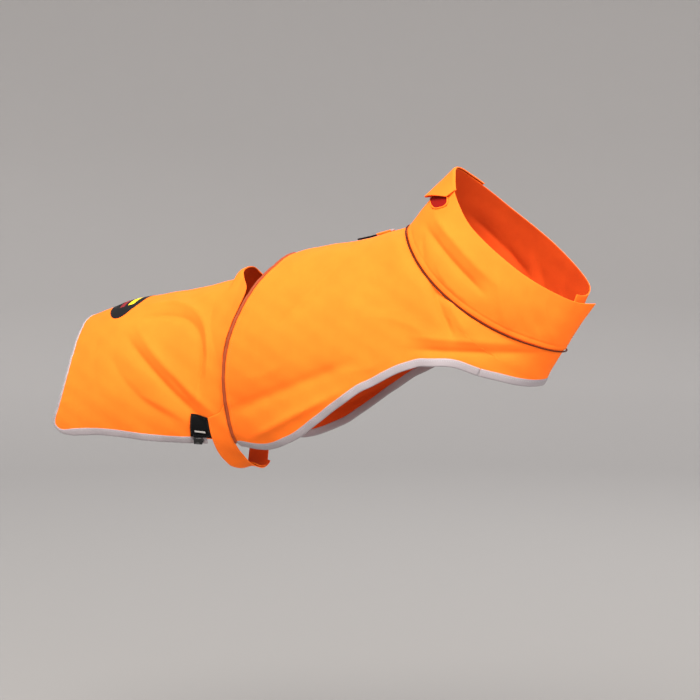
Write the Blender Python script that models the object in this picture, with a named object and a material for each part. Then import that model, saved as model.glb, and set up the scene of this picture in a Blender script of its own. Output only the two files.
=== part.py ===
"""Dog raincoat in its worn, hollow form.

The coat faces +X, +Z is up, and its right side is at -Y. The origin is on the spine at the withers, under the
cloth, where the wearer holds the coat up. Lengths in the tables are millimetres, and angles are degrees round
from the spine: minus on the right side, plus on the left, 180 at the belly or throat.
"""
import math
from collections import namedtuple

import bmesh
import bpy
import numpy as np
from mathutils import Matrix

MM = 0.001
RIGHT, LEFT = -1, 1

# ---------------------------------------------------------------- driving sizes
CLOTH = 1.6             # wall of the coat's cloth
SEAM_GAP = 0.35         # clear space between two pieces at a seam
STEP_OUT = CLOTH + 0.8  # from one layer of cloth to the layer that lies on it
BINDING_WIDTH = 9.0
BINDING_THICK = 2.8
PIPING_RADIUS = 1.3
PIPING_RAISED = 0.5     # so that the edge piping clears the panel under it
CORNER_RADIUS = 20.0    # rear lower corners of the rear panel

REAR_CELLS = (24, 38)       # along the back, round the body
FRONT_CELLS = (24, 4, 42)   # along the hem, from chest hem to collar seam, round the body
COLLAR_CELLS = (9, 50)      # seam to rim, round the neck
FLAP_CELLS = (8, 14)        # crest to free edge, round the neck
STRAP_CELLS = (3, 13, 3)    # across, from the top to the middle of the belly, past it

# Rings of cloth round a general figure, from the rump to the collar seam. Each runs from its top point on the
# spine to a low point on the belly line. widest: how far down it is widest. bow: how far it bends to the rear.
# hem: how far down the rear panel's hem is.
Ring = namedtuple("Ring", "name top_x top_z low_x low_z half_width widest bow hem")
RINGS = (
    Ring("rear hem", -484, -128, -582, -410, 93, 0.44, -30, 0.590),
    Ring("rump", -402, -100, -420, -402, 105, 0.46, -6, 0.645),
    Ring("loin", -322, -86, -330, -382, 103, 0.47, 2, 0.728),
    Ring("waist", -252, -70, -265, -362, 97, 0.48, 8, 0.800),
    Ring("rear panel edge", -207, -55, -213, -347, 98, 0.48, 24, 0.860),
    Ring("front panel edge", -150, -29, -202, -347, 101, 0.48, 38, 0.872),
    Ring("ribs", -92, -14, -75, -392, 117, 0.47, 18, 0.860),
    Ring("shoulder", -40, -6, 66, -404, 121, 0.47, 8, 0.860),
    Ring("shoulder point", 4, 5, 200, -325, 116, 0.48, 6, 0.860),
    Ring("chest", 25, 11, 246, -203, 108, 0.48, 12, 0.860),
    Ring("collar seam", 41, 16, 272, -159, 98, 0.48, 25, 0.860),
)
REAR_EDGE, FRONT_EDGE, CHEST, SEAM = 4, 5, 9, 10

# Hem of the front panel from its rear lower corner to the middle of the chest: how far down each ring it is.
Hem = namedtuple("Hem", "ring down")
FRONT_HEM = (
    Hem(5.0, 0.880), Hem(5.5, 0.830), Hem(5.83, 0.745), Hem(6.24, 0.644), Hem(6.61, 0.564), Hem(7.06, 0.498),
    Hem(7.48, 0.480), Hem(7.84, 0.499), Hem(8.26, 0.573), Hem(8.49, 0.650), Hem(8.67, 0.768), Hem(8.79, 0.850),
    Hem(8.88, 0.925), Hem(8.95, 0.975), Hem(9.0, 1.0),
)
REAR_BINDING_ROWS = 15  # rows of the rear panel whose hem is bound, up to the belly strap
BINDING_JOINT = 17      # row of the front panel where the hem binding meets the chest binding

# Collar rim at each angle: drop below the straight rim, and how far it stands out from the neck.
Rim = namedtuple("Rim", "angle drop flare")
RIM = (
    Rim(-192, -6, 17), Rim(-180, -3, 12), Rim(-165, 5, 5), Rim(-140, 14, 1), Rim(-110, 23, 0), Rim(-75, 27, 0),
    Rim(-45, 16, 0), Rim(-20, 2, 0), Rim(0, 0, 0), Rim(30, 2, 0), Rim(60, 4, 0), Rim(110, 1, 0), Rim(150, 0, 0),
    Rim(180, 2, -2), Rim(200, 3, -4),
)
RIM_TOP, RIM_LOW = (112, 100), (304, -84)
RIM_HALF_WIDTH = 84
COLLAR_BELLY = 9            # how far the collar's sides round out between seam and rim
COLLAR_ENDS = (-184, 196)   # the right end lies over the left one at the throat

# Nape flap: the rim turned down at the nape, standing off more towards its free edge
FLAP_HALF_ANGLE = 40.0
FLAP_LENGTH = 0.54          # of the collar's height
FLAP_STAND_OFF = 11.0
MOUTH_ANGLE, MOUTH_SPREAD, MOUTH_LIFT = 33.0, 11.0, 7.0
MOUTH_CUT = 0.30            # share of the flap's length that is cut away over the mouth

# Main folds, as lines in the side view. depth: plus stands out, minus is a trough.
Fold = namedtuple("Fold", "side start_x start_z end_x end_z width depth")
PANEL_FOLDS = (
    Fold(RIGHT, -372, -128, -238, -262, 15, -6), Fold(RIGHT, -392, -168, -268, -262, 14, 4.5),
    Fold(RIGHT, -318, -112, -240, -165, 13, 3.5), Fold(RIGHT, -60, -28, -170, -125, 26, -3.5),
    Fold(RIGHT, -150, -278, -25, -212, 17, 5), Fold(RIGHT, -160, -240, -20, -160, 24, -4),
    Fold(RIGHT, 92, -132, 112, -140, 13, -4), Fold(RIGHT, 60, -156, 185, -162, 15, -3),
    Fold(LEFT, -360, -120, -236, -255, 17, -5.5), Fold(LEFT, -405, -190, -275, -270, 14, 4),
    Fold(LEFT, -70, -35, -165, -140, 24, -3.5), Fold(LEFT, -140, -272, -15, -205, 19, 5),
    Fold(LEFT, -150, -228, -30, -160, 22, -3.5), Fold(LEFT, 75, -148, 180, -160, 15, -3),
)
COLLAR_FOLDS = (
    Fold(RIGHT, 118, 20, 172, -62, 15, -5), Fold(RIGHT, 150, -30, 165, -85, 13, 3),
    Fold(RIGHT, 205, -42, 222, -112, 11, 3), Fold(RIGHT, 240, -75, 252, -125, 10, -2.5),
    Fold(LEFT, 130, 15, 180, -70, 16, -4.5), Fold(LEFT, 215, -40, 235, -115, 12, 3),
)
PUCKER_HEIGHT = 10.5        # raised edge of the rear panel over the spine
PUCKER_HALF_ANGLE = 24.0
PUCKER_LENGTH = 0.42        # in rings, back from the rear panel's front edge

# Belly straps, hem tabs and spine welt
STRAP_WIDTH = 34.0
STRAP_BEHIND = 4.2          # from the front panel's edge back to the strap's front edge
STRAP_TOP = 116.0           # angle at which a strap starts, on the rear panel
STRAP_FORWARD = 0.20        # rings that a strap drifts forward under the belly
TAB_FRONT = STRAP_BEHIND + STRAP_WIDTH + SEAM_GAP
TAB_LENGTH, TAB_BOTTOM, TAB_TOP = 33.0, 1.6, 15.6   # along the hem, and degrees above it
TAB_TAPER = 0.010           # share of its length that it loses for each degree above the hem
TAB_OUT = STEP_OUT + 0.4
BAR_LENGTH, BAR_BOTTOM, BAR_TOP = 18.0, 5.0, 6.1
LOCK_SIZE = (18.0, 11.0, 6.0)           # along the hem, down, out
LOCK_BEHIND, LOCK_DOWN = 4.5, 0.0       # its middle, from the tab's middle and the hem
WELT_RINGS = (6.95, 7.91)
WELT_HALF = 3.2
TAB_LOOP = (9.0, 11.0, 3.6)             # leash tab: long, wide, high
TIP_SIZE = (5.0, 8.0, 3.0)

ORANGE = (1.0, 0.28, 0.022, 1.0)
GREY = (0.46, 0.43, 0.47, 1.0)
DARK = (0.06, 0.045, 0.042, 1.0)
BLACK = (0.008, 0.008, 0.009, 1.0)
SILVER = (0.42, 0.40, 0.39, 1.0)


# ---------------------------------------------------------------- smooth tables
def row_slope(rows, row):
    """Slope through a row that never overshoots: none at a peak, and the gentler of its two sides elsewhere."""
    if row in (0, len(rows) - 1):
        return rows[min(row + 1, len(rows) - 1)] - rows[max(row - 1, 0)]
    before, after = rows[row] - rows[row - 1], rows[row + 1] - rows[row]
    same_way = before * after > 0
    return np.where(same_way, 2 * before * after / np.where(same_way, before + after, 1.0), 0.0)


def along_rows(rows, place):
    """Smooth values between the rows of a table, at a row number that may be a fraction."""
    place = min(max(place, 0.0), len(rows) - 1.0)
    row = min(int(place), len(rows) - 2)
    t = place - row
    rise = t * t * (3 - 2 * t)
    return (rows[row] * (1 - rise) + rows[row + 1] * rise
            + row_slope(rows, row) * t * (1 - t) ** 2 - row_slope(rows, row + 1) * t * t * (1 - t))


def table_values(table, key):
    """A row's values at a key in its first column, smooth between the rows."""
    place = float(np.interp(key, [row[0] for row in table], range(len(table))))
    return along_rows(np.array([row[1:] for row in table], float), place)


def ease(low, high, value):
    """0 below low, 1 above high and smooth between."""
    t = min(max((value - low) / (high - low), 0.0), 1.0)
    return t * t * (3 - 2 * t)


def unit(vector):
    return vector / np.linalg.norm(vector)


# ---------------------------------------------------------------- the figure's surface
RING_ROWS = np.array([ring[1:] for ring in RINGS], float)


def ring_point(place, angle):
    """Point at an angle round the ring at a ring place."""
    top_x, top_z, low_x, low_z, half_width, widest, bow, _ = along_rows(RING_ROWS, place)
    return round_ring((top_x, top_z), (low_x, low_z), half_width, widest, bow, angle)


def round_ring(top, low, half_width, widest, bow, angle):
    turn = math.radians(angle)
    down = widest * (1 - math.cos(turn)) if math.cos(turn) > 0 else widest - (1 - widest) * math.cos(turn)
    start = np.array((top[0], 0.0, top[1]))
    line = np.array((low[0], 0.0, low[1])) - start
    rearward = unit(np.array((line[2], 0.0, -line[0])))
    point = start + down * line + bow * math.sin(turn) ** 2 * rearward
    point[1] = half_width * math.sin(turn)
    return point


def surface_normal(surface, a, b, step_a=0.02, step_b=0.8):
    """Outward direction of a surface at its two coordinates."""
    across = surface(a + step_a, b) - surface(a - step_a, b)
    round_way = surface(a, b + step_b) - surface(a, b - step_b)
    return unit(np.cross(across, round_way))


def angle_down(place, down):
    """Angle at which a ring is a given share of its height down."""
    widest = along_rows(RING_ROWS, place)[5]
    if down < widest:
        return math.degrees(math.acos(1 - down / widest))
    return math.degrees(math.acos(max(-1.0, (widest - down) / (1 - widest))))


def rear_hem_angle(place):
    return angle_down(place, along_rows(RING_ROWS, place)[7])


def place_behind(place, angle, distance):
    """Ring place that lies a distance behind another along the cloth."""
    start, low, high = ring_point(place, angle), place - 3.0, place
    for _ in range(24):
        middle = (low + high) / 2
        if np.linalg.norm(ring_point(middle, angle) - start) > distance:
            low = middle
        else:
            high = middle
    return high


def fold_depth(point, folds):
    """How far the folds move a point out of the figure's surface."""
    depth = 0.0
    for fold in folds:
        if fold.side * point[1] <= 0:
            continue
        start = np.array((fold.start_x, fold.start_z))
        run = np.array((fold.end_x, fold.end_z)) - start
        reach = point[[0, 2]] - start
        t = float(reach @ run / (run @ run))
        away = abs(reach[0] * run[1] - reach[1] * run[0]) / np.linalg.norm(run)
        ends = ease(-0.28, 0.18, t) * (1 - ease(0.82, 1.25, t))
        depth += fold.depth * ends * math.exp(-(away / fold.width) ** 2) * ease(0, 25, abs(point[1]))
    return depth


def pucker(place, angle):
    """Raised edge of the rear panel over the spine."""
    start = REAR_EDGE - PUCKER_LENGTH
    rise = ease(start - 0.18, start + 0.12, place) * (1 - 0.5 * ease(REAR_EDGE - 0.15, REAR_EDGE, place))
    return PUCKER_HEIGHT * rise * math.exp(-(angle / PUCKER_HALF_ANGLE) ** 4)


def corner_lift(place, angle):
    """The front panel's rear lower corner lies on the rear panel, one layer out."""
    return STEP_OUT * ease(52, 76, abs(angle)) * (1 - ease(5.25, 5.7, place))


def panel_point(place, angle, out=0.0):
    """Cloth of the panels at a ring place and angle, moved out by a number of millimetres."""
    base = ring_point(place, angle)
    normal = surface_normal(ring_point, place, angle)
    return base + normal * (fold_depth(base, PANEL_FOLDS) + out)


def rear_point(place, angle, out=0.0):
    return panel_point(place, angle, pucker(place, angle) + out)


def front_point(place, angle, out=0.0):
    return panel_point(place, angle, corner_lift(place, angle) + out)


# ---------------------------------------------------------------- building helpers
def finish_object(name, data, colour, roughness):
    body = bpy.data.objects.new(name, data)
    bpy.context.scene.collection.objects.link(body)
    material = bpy.data.materials.new(name + "_material")
    material.use_nodes = True
    shader = material.node_tree.nodes["Principled BSDF"]
    shader.inputs["Base Color"].default_value = colour
    shader.inputs["Roughness"].default_value = roughness
    shader.inputs["Metallic"].default_value = 0.0
    data.materials.append(material)
    return body


def mesh_object(name, bm, colour, roughness):
    mesh = bpy.data.meshes.new(name)
    bm.to_mesh(mesh)
    bm.free()
    mesh.shade_smooth()
    return finish_object(name, mesh, colour, roughness)


def sheet(name, grid, wall, colour, roughness=0.6):
    """A wall of cloth through a grid of points. Columns whose ends meet are joined into a tube."""
    bm = bmesh.new()
    verts = [[bm.verts.new(point * MM) for point in row] for row in grid]
    for low, high in zip(verts, verts[1:]):
        for j in range(len(low) - 1):
            bm.faces.new((low[j], high[j], high[j + 1], low[j + 1]))
    bmesh.ops.remove_doubles(bm, verts=bm.verts, dist=0.01 * MM)
    body = mesh_object(name, bm, colour, roughness)
    solid = body.modifiers.new("Wall", "SOLIDIFY")
    solid.thickness = wall * MM
    solid.offset = 0.0
    return body


def tube(name, points, radius, colour, roughness, cyclic=False):
    curve = bpy.data.curves.new(name, "CURVE")
    curve.dimensions = "3D"
    curve.bevel_depth = radius * MM
    curve.bevel_resolution = 1
    curve.use_fill_caps = True
    spline = curve.splines.new("POLY")
    spline.points.add(len(points) - 1)
    for place, point in zip(spline.points, points):
        place.co = (*(point * MM), 1.0)
    spline.use_cyclic_u = cyclic
    return finish_object(name, curve, colour, roughness)


def block(name, centre, axes, size, bevel, colour, roughness):
    """A small block with rounded edges, its size along three axes given as directions."""
    bm = bmesh.new()
    bmesh.ops.create_cube(bm, size=MM)
    bmesh.ops.scale(bm, vec=size, verts=bm.verts)
    bmesh.ops.bevel(bm, geom=bm.edges[:], offset=bevel * MM, segments=2, profile=0.5, affect="EDGES", material=-1)
    turn = Matrix([list(axis) for axis in axes]).transposed().to_4x4()
    bmesh.ops.transform(bm, matrix=Matrix.Translation(centre * MM) @ turn, verts=bm.verts)
    return mesh_object(name, bm, colour, roughness)


def grid_normals(grid):
    normals = np.cross(np.gradient(grid, axis=0), np.gradient(grid, axis=1))
    return normals / np.linalg.norm(normals, axis=2)[:, :, None]


def edge_band(edge, inner, normals, start, width):
    """Three lines of points that carry a panel on past its edge, within its surface."""
    outward = np.cross(np.gradient(edge, axis=0), normals)
    outward /= np.linalg.norm(outward, axis=1)[:, None]
    outward *= np.sign(((edge - inner) * outward).sum(1))[:, None]
    return np.array([edge + outward * step for step in (start, start + width / 2, start + width)])


def binding(name, strip, first, last):
    """A stretch of a bound edge, from one station of the strip to another, its ends cut clear of the next one."""
    part = strip[:, first:last].copy()
    part[:, 0] += (part[:, 1] - part[:, 0]) * 0.02
    part[:, -1] += (part[:, -2] - part[:, -1]) * 0.02
    sheet(name, part, BINDING_THICK, GREY)


# ---------------------------------------------------------------- rear panel
def rounded_corner(from_rear, from_hem, radius):
    """Move a point near a square corner so that the corner becomes round."""
    a, b = max(0.0, 1 - from_rear / radius), max(0.0, 1 - from_hem / radius)
    return (radius * (1 - a * math.sqrt(1 - b * b / 2)) if a > 0 else from_rear,
            radius * (1 - b * math.sqrt(1 - a * a / 2)) if b > 0 else from_hem)


def rear_panel_grid():
    """Rows from the rear hem to the front edge, columns from the right hem over the spine to the left hem.

    Down its sides the front edge follows the front panel's edge, and lower down it runs on under its corner.
    """
    cells_along, cells_round = REAR_CELLS
    ring_step, degree_step = 75.0, 2.05     # millimetres to a ring and to a degree, at the rump
    grid = np.zeros((cells_along + 1, cells_round + 1, 3))
    for i in range(cells_along + 1):
        for j in range(cells_round + 1):
            share = 2 * j / cells_round - 1
            tuck = 0.8 * ease(0.10, 0.42, abs(share)) + 0.3 * ease(0.62, 0.80, abs(share))
            place = (REAR_EDGE + tuck) * i / cells_along
            limit = rear_hem_angle(place)
            from_rear, from_hem = rounded_corner(place * ring_step, limit * (1 - abs(share)) * degree_step,
                                                 CORNER_RADIUS)
            grid[i, j] = rear_point(from_rear / ring_step, math.copysign(limit - from_hem / degree_step, share))
    return grid


def build_rear():
    grid = rear_panel_grid()
    sheet("rear_panel", grid, CLOTH, ORANGE)
    last = REAR_BINDING_ROWS
    normals = grid_normals(grid)

    def round_edge(values, step):
        """Values along the right hem to the rear, round the rump and along the left hem."""
        return np.concatenate((values[last:0:-1, step], values[step], values[1:last + 1, -1 - step]))

    edge, inner = round_edge(grid, 0), round_edge(grid, 1)
    inner[last], inner[-last - 1] = grid[1, 1], grid[1, -2]
    strip = edge_band(edge, inner, round_edge(normals, 0), SEAM_GAP, BINDING_WIDTH)
    binding("rear_hem_binding", strip, 0, len(edge))


# ---------------------------------------------------------------- front panel
def front_panel_rows():
    """Ring place and hem angle of each row: along the hem to the chest, then up to the collar seam."""
    along, up, _ = FRONT_CELLS
    hem = np.array([tuple(row) for row in FRONT_HEM])
    rows = [along_rows(hem, i * (len(hem) - 1) / along) for i in range(along)]
    rows = [(place, angle_down(place, down)) for place, down in rows]
    return rows + [(CHEST + i / up, 180.0) for i in range(up + 1)]


def front_shares():
    cells = FRONT_CELLS[2]
    return [2 * j / cells - 1 for j in range(cells + 1)]


def build_front():
    rows = front_panel_rows()
    grid = np.array([[front_point(place, share * limit) for share in front_shares()] for place, limit in rows])
    sheet("front_panel", grid, CLOTH, ORANGE)
    chest, joint = FRONT_CELLS[0], BINDING_JOINT
    stations = [(place, -limit) for place, limit in rows[:chest + 1]]
    stations += [(place, limit) for place, limit in rows[chest - 1::-1]]
    normals = np.array([surface_normal(front_point, place, angle) for place, angle in stations])

    def along_hem(step):
        """Points along the right hem to the middle of the chest and back along the left hem."""
        return np.concatenate((grid[:chest, step], grid[chest + step:chest + step + 1, 0],
                               grid[chest - 1::-1, -1 - step]))

    strip = edge_band(along_hem(0), along_hem(1), normals, SEAM_GAP, BINDING_WIDTH)
    count = len(stations)
    binding("front_hem_binding_right", strip, 0, joint + 1)
    binding("chest_binding", strip, joint, count - joint)
    binding("front_hem_binding_left", strip, count - joint - 1, count)

    # piping along the rear edge, raised so that it clears the rear panel under the corners
    normals = np.array([surface_normal(front_point, FRONT_EDGE, share * rows[0][1]) for share in front_shares()])
    beyond = edge_band(grid[0], grid[1], normals, SEAM_GAP, PIPING_RADIUS * 2)[1]
    tube("edge_piping", beyond + normals * PIPING_RAISED, PIPING_RADIUS, DARK, 0.35)


# ---------------------------------------------------------------- collar
def collar_point(height, angle, out=0.0):
    """Middle of the collar's cloth without folds: height 0 at the seam and 1 at the rim."""
    seam = ring_point(SEAM, angle)
    drop, flare = table_values(RIM, angle)
    rim = round_ring(RIM_TOP, RIM_LOW, RIM_HALF_WIDTH, 0.5, 0.0, angle)
    line = unit(np.array((RIM_LOW[0] - RIM_TOP[0], 0.0, RIM_LOW[1] - RIM_TOP[1])))
    neck_way = np.array((-line[2], 0.0, line[0]))
    turn = math.radians(angle)
    outward = -math.cos(turn) * line + np.array((0.0, math.sin(turn), 0.0))
    swell = COLLAR_BELLY * math.sin(math.pi * height) * math.sin(turn) ** 2
    return seam + (rim - neck_way * drop - seam) * height + outward * (swell + flare * max(height, 0.0) ** 1.5 + out)


def collar_cloth(height, angle, out=0.0):
    base = collar_point(height, angle, out)
    normal = surface_normal(collar_point, height, angle)
    return base + normal * fold_depth(base, COLLAR_FOLDS) * ease(0, 0.2, height)


def lap_out(angle):
    """The right end of the collar lies one layer out over the left end."""
    return STEP_OUT * (1 - ease(-160, -140, angle))


def build_collar():
    cells_up, cells_round = COLLAR_CELLS
    start = 0.024       # height of the first row, just clear of the panel at the seam
    first, last = COLLAR_ENDS
    angles = [first + (last - first) * j / cells_round for j in range(cells_round + 1)]
    heights = [start + (1 - start) * i / cells_up for i in range(cells_up + 1)]
    grid = np.array([[collar_cloth(height, angle, lap_out(angle)) for angle in angles] for height in heights])
    sheet("collar", grid, CLOTH, ORANGE)


def collar_piping():
    """Piping that lies in the corner between the front panel and the collar, on the outside."""
    count = 54
    points = []
    for k in range(count):
        angle = -180 + 360 * k / count
        panel = surface_normal(ring_point, SEAM - 0.05, angle)
        collar = surface_normal(collar_point, 0.03, angle)
        way = unit(panel + collar)
        reach = (CLOTH / 2 + SEAM_GAP + PIPING_RADIUS) / float(way @ panel)
        reach += lap_out(angle) + STEP_OUT * ease(162, 172, angle)
        points.append(ring_point(SEAM, angle) + way * reach)
    tube("collar_piping", points, PIPING_RADIUS, DARK, 0.35, cyclic=True)


# ---------------------------------------------------------------- nape flap
def flap_point(down, share):
    """Cloth of the nape flap: down 0 over the rim and 1 at the free edge, share -1 right end to 1 left end."""
    angle = share * FLAP_HALF_ANGLE
    mouth = math.exp(-((abs(angle) - MOUTH_ANGLE) / MOUTH_SPREAD) ** 2)
    length = FLAP_LENGTH * (1 - MOUTH_CUT * mouth)
    height = 1.03 - length * max(down - 0.06, 0.0) - 0.012 * min(down, 0.06) / 0.06
    stand_off = 2.6 * ease(0, 0.1, down) + FLAP_STAND_OFF * down ** 1.3 * (1 - 0.75 * share * share)
    stand_off += MOUTH_LIFT * mouth * ease(0.3, 1.0, down)
    return collar_point(height, angle) + surface_normal(collar_point, min(height, 0.98), angle) * stand_off


def build_flap():
    cells_down, cells_round = FLAP_CELLS
    grid = np.array([[flap_point(i / cells_down, 2 * j / cells_round - 1) for j in range(cells_round + 1)]
                     for i in range(cells_down + 1)])
    sheet("nape_flap", grid[::-1], CLOTH, ORANGE)


# ---------------------------------------------------------------- straps, tabs, welt
def strap_place(angle, behind):
    edge = FRONT_EDGE + STRAP_FORWARD * ease(138, 180, abs(angle))
    return place_behind(edge, angle, STRAP_BEHIND + behind)


def build_strap(name, side):
    across, along, past = STRAP_CELLS
    step = (180.0 - STRAP_TOP) / along
    rows = []
    for k in range(along + past + 1):
        angle = STRAP_TOP + step * k
        lap = (STEP_OUT + SEAM_GAP) * ease(152, 161, angle) if side == RIGHT else 0.0
        rows.append([panel_point(strap_place(side * angle, STRAP_WIDTH * i / across), side * angle, STEP_OUT + lap)
                     for i in range(across, -1, -1)])
    grid = np.swapaxes(np.array(rows), 0, 1)
    sheet(name, grid if side == LEFT else grid[:, ::-1], CLOTH, ORANGE)


def above_hem(side, behind, above, out):
    """Point on the rear panel: how far behind the front panel's edge, and degrees above the hem there."""
    angle = rear_hem_angle(place_behind(FRONT_EDGE, side * 125.0, behind)) - above
    behind = TAB_FRONT + (behind - TAB_FRONT) * (1 - TAB_TAPER * above)
    return rear_point(place_behind(FRONT_EDGE, side * angle, behind), side * angle, out)


def patch_above_hem(name, side, behind, above, out, wall, colour, cells=(3, 3)):
    grid = np.array([[above_hem(side, behind[1] + (behind[0] - behind[1]) * i / cells[0],
                                above[1] + (above[0] - above[1]) * j / cells[1], out)
                      for j in range(cells[1] + 1)] for i in range(cells[0] + 1)])
    sheet(name, grid if side == LEFT else grid[:, ::-1], wall, colour)


def build_tab(name, side):
    patch_above_hem("hem_tab_" + name, side, (TAB_FRONT, TAB_FRONT + TAB_LENGTH), (TAB_BOTTOM, TAB_TOP), TAB_OUT,
                    CLOTH, BLACK)
    bar = TAB_FRONT + (TAB_LENGTH - BAR_LENGTH) / 2
    patch_above_hem("tab_bar_" + name, side, (bar, bar + BAR_LENGTH), (BAR_BOTTOM, BAR_TOP),
                    TAB_OUT + CLOTH / 2 + SEAM_GAP + 0.3, 0.6, SILVER, (2, 1))

    # cord lock over the hem binding, its top edge on the tab
    middle = TAB_FRONT + TAB_LENGTH / 2 + LOCK_BEHIND
    edge, above = above_hem(side, middle, 0.0, 0.0), above_hem(side, middle, 4.0, 0.0)
    down = unit(edge - above)
    along = unit(above_hem(side, middle - 4, 0.0, 0.0) - above_hem(side, middle + 4, 0.0, 0.0)) * side
    out = unit(np.cross(along, down))
    down = np.cross(out, along)
    centre = edge + down * LOCK_DOWN + out * (TAB_OUT + CLOTH / 2 + SEAM_GAP + LOCK_SIZE[2] / 2)
    block("cord_lock_" + name, centre, (along, down, out), LOCK_SIZE, 1.6, BLACK, 0.4)


def build_welt():
    """Two closed lips over the leash opening on the spine, then a small tab and its tip in front of it."""
    first, last = WELT_RINGS
    profile = ((-1.0, 0.0), (-0.5, 0.9), (0.0, 0.1), (0.5, 0.9), (1.0, 0.0))    # share of half width, height
    rows = []
    for k in range(9):
        place = first + (last - first) * k / 8
        half_width = along_rows(RING_ROWS, place)[4]
        width = WELT_HALF * math.sqrt(max(0.15, 1 - (k / 4 - 1) ** 4))
        rows.append([front_point(place, math.degrees(math.asin(share * width / half_width)), STEP_OUT + height)
                     for share, height in profile])
    sheet("leash_welt", np.array(rows), CLOTH, BLACK)
    place = last + 0.08
    along = unit(ring_point(last + 0.5, 0) - ring_point(last, 0))
    side = np.array((0.0, 1.0, 0.0))
    out = np.cross(along, side)
    lift = CLOTH / 2 + SEAM_GAP
    centre = ring_point(place, 0) + along * (TAB_LOOP[0] / 2 - 2) + out * (lift + TAB_LOOP[2] / 2)
    block("leash_tab", centre, (along, side, out), TAB_LOOP, 1.5, ORANGE, 0.6)
    centre = centre + along * (TAB_LOOP[0] / 2 + SEAM_GAP + TIP_SIZE[0] / 2) + out * (TIP_SIZE[2] - TAB_LOOP[2]) / 2
    block("leash_tab_tip", centre, (along, side, out), TIP_SIZE, 1.2, GREY, 0.4)


# ---------------------------------------------------------------- assemble
def main():
    for old in list(bpy.data.objects):
        bpy.data.objects.remove(old, do_unlink=True)
    build_rear()
    build_front()
    build_collar()
    collar_piping()
    build_flap()
    for name, side in (("right", RIGHT), ("left", LEFT)):
        build_strap("belly_strap_" + name, side)
        build_tab(name, side)
    build_welt()


main()
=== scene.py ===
# %% [markdown]
# # A dog raincoat in its worn form
# The coat is one light shell of rain cloth: a saddle over the back, a poncho over the shoulders and a tall collar.
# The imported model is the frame. It gives the places and the real sizes, and this lesson dresses it: each solid gets
# a finer cloth shell with its creases, hems, threads and trims, and a finish that matches the real one.

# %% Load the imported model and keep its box
import math
from collections import namedtuple
from functools import partial

import bmesh
import bpy
import numpy as np
from mathutils import Matrix, Vector


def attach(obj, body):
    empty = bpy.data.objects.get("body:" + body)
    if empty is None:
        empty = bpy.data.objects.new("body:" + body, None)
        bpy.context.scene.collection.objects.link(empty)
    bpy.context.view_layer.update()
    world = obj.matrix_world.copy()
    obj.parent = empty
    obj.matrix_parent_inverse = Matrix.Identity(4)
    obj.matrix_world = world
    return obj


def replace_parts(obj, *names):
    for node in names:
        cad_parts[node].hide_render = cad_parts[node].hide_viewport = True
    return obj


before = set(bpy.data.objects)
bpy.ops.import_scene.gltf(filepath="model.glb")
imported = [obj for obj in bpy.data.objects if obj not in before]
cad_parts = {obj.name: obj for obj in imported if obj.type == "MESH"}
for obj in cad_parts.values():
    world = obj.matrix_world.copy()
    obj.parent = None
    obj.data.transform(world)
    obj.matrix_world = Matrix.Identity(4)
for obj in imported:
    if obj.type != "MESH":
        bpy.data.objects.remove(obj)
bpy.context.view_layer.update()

MM = 0.001
RIGHT, LEFT = -1, 1
SIDES = (("right", RIGHT), ("left", LEFT))

# %% [markdown]
# ## The camera
# The photograph looks at the coat's right side, a little from its front and a little from above. A camera is three
# directions and a distance: where it looks back along, what lies to the right in the picture, and what lies up.
# The focal length follows from the size of a pixel at the coat, so the picture needs no shift.

# %% Camera at the photograph's angle
def new_object(name, data):
    made = bpy.data.objects.new(name, data)
    bpy.context.scene.collection.objects.link(made)
    return made


AZIMUTH, ELEVATION = math.radians(21), math.radians(5)
DISTANCE = 3.0              # metres from the camera to the point it looks at
PIXEL = 1.48                # millimetres of the coat that one pixel covers there
FRAME_PIXELS, SENSOR = 700, 36.0
AIM_RIGHT, AIM_UP = -0.0518, -0.16724       # metres in the picture from the origin to its middle
back = Vector((math.sin(AZIMUTH) * math.cos(ELEVATION), -math.cos(AZIMUTH) * math.cos(ELEVATION), math.sin(ELEVATION)))
to_right = Vector((math.cos(AZIMUTH), math.sin(AZIMUTH), 0.0))
upward = back.cross(to_right)
target = AIM_RIGHT * to_right + AIM_UP * upward

camera_data = bpy.data.cameras.new("camera")
camera_data.sensor_width = SENSOR
camera_data.lens = DISTANCE / (PIXEL * MM) / FRAME_PIXELS * SENSOR
camera = new_object("camera", camera_data)
turn = Matrix((to_right, upward, back)).transposed().to_4x4()
camera.matrix_world = Matrix.Translation(target + DISTANCE * back) @ turn
bpy.context.scene.camera = camera
print("lens:", round(camera_data.lens, 1), "mm")

# %% [markdown]
# ## The rings that the coat lies on
# A worn coat has the shape of the body that it lies on. The body is eleven rings from the rump to the neck, one row
# of sizes each, and every point between them is worked out smoothly. A point of the coat is then named by two
# numbers: its place along the rings and its angle round the body, 0 on the spine, minus on the right side and 180
# under the belly. Hems, creases and seams can all be given in those numbers.

# %% Smooth tables
def ease(low, high, value):
    """0 below low, 1 above high and smooth between."""
    t = np.clip((value - low) / (high - low), 0.0, 1.0)
    return t * t * (3 - 2 * t)


def between_rows(rows, place):
    """Values between a table's rows, at row numbers that may be fractions. They never overshoot a row."""
    place = np.clip(place, 0.0, len(rows) - 1.0)
    row = np.minimum(place.astype(int), len(rows) - 2)
    t = (place - row)[:, None]
    steps = np.diff(rows, axis=0)
    before, after = steps[:-1], steps[1:]
    same_way = before * after > 0
    slope = np.concatenate((steps[:1], np.where(same_way, 2 * before * after / np.where(same_way, before + after, 1.0),
                                                0.0), steps[-1:]))
    rise = t * t * (3 - 2 * t)
    return (rows[row] * (1 - rise) + rows[row + 1] * rise
            + slope[row] * t * (1 - t) ** 2 - slope[row + 1] * t * t * (1 - t))


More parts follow.
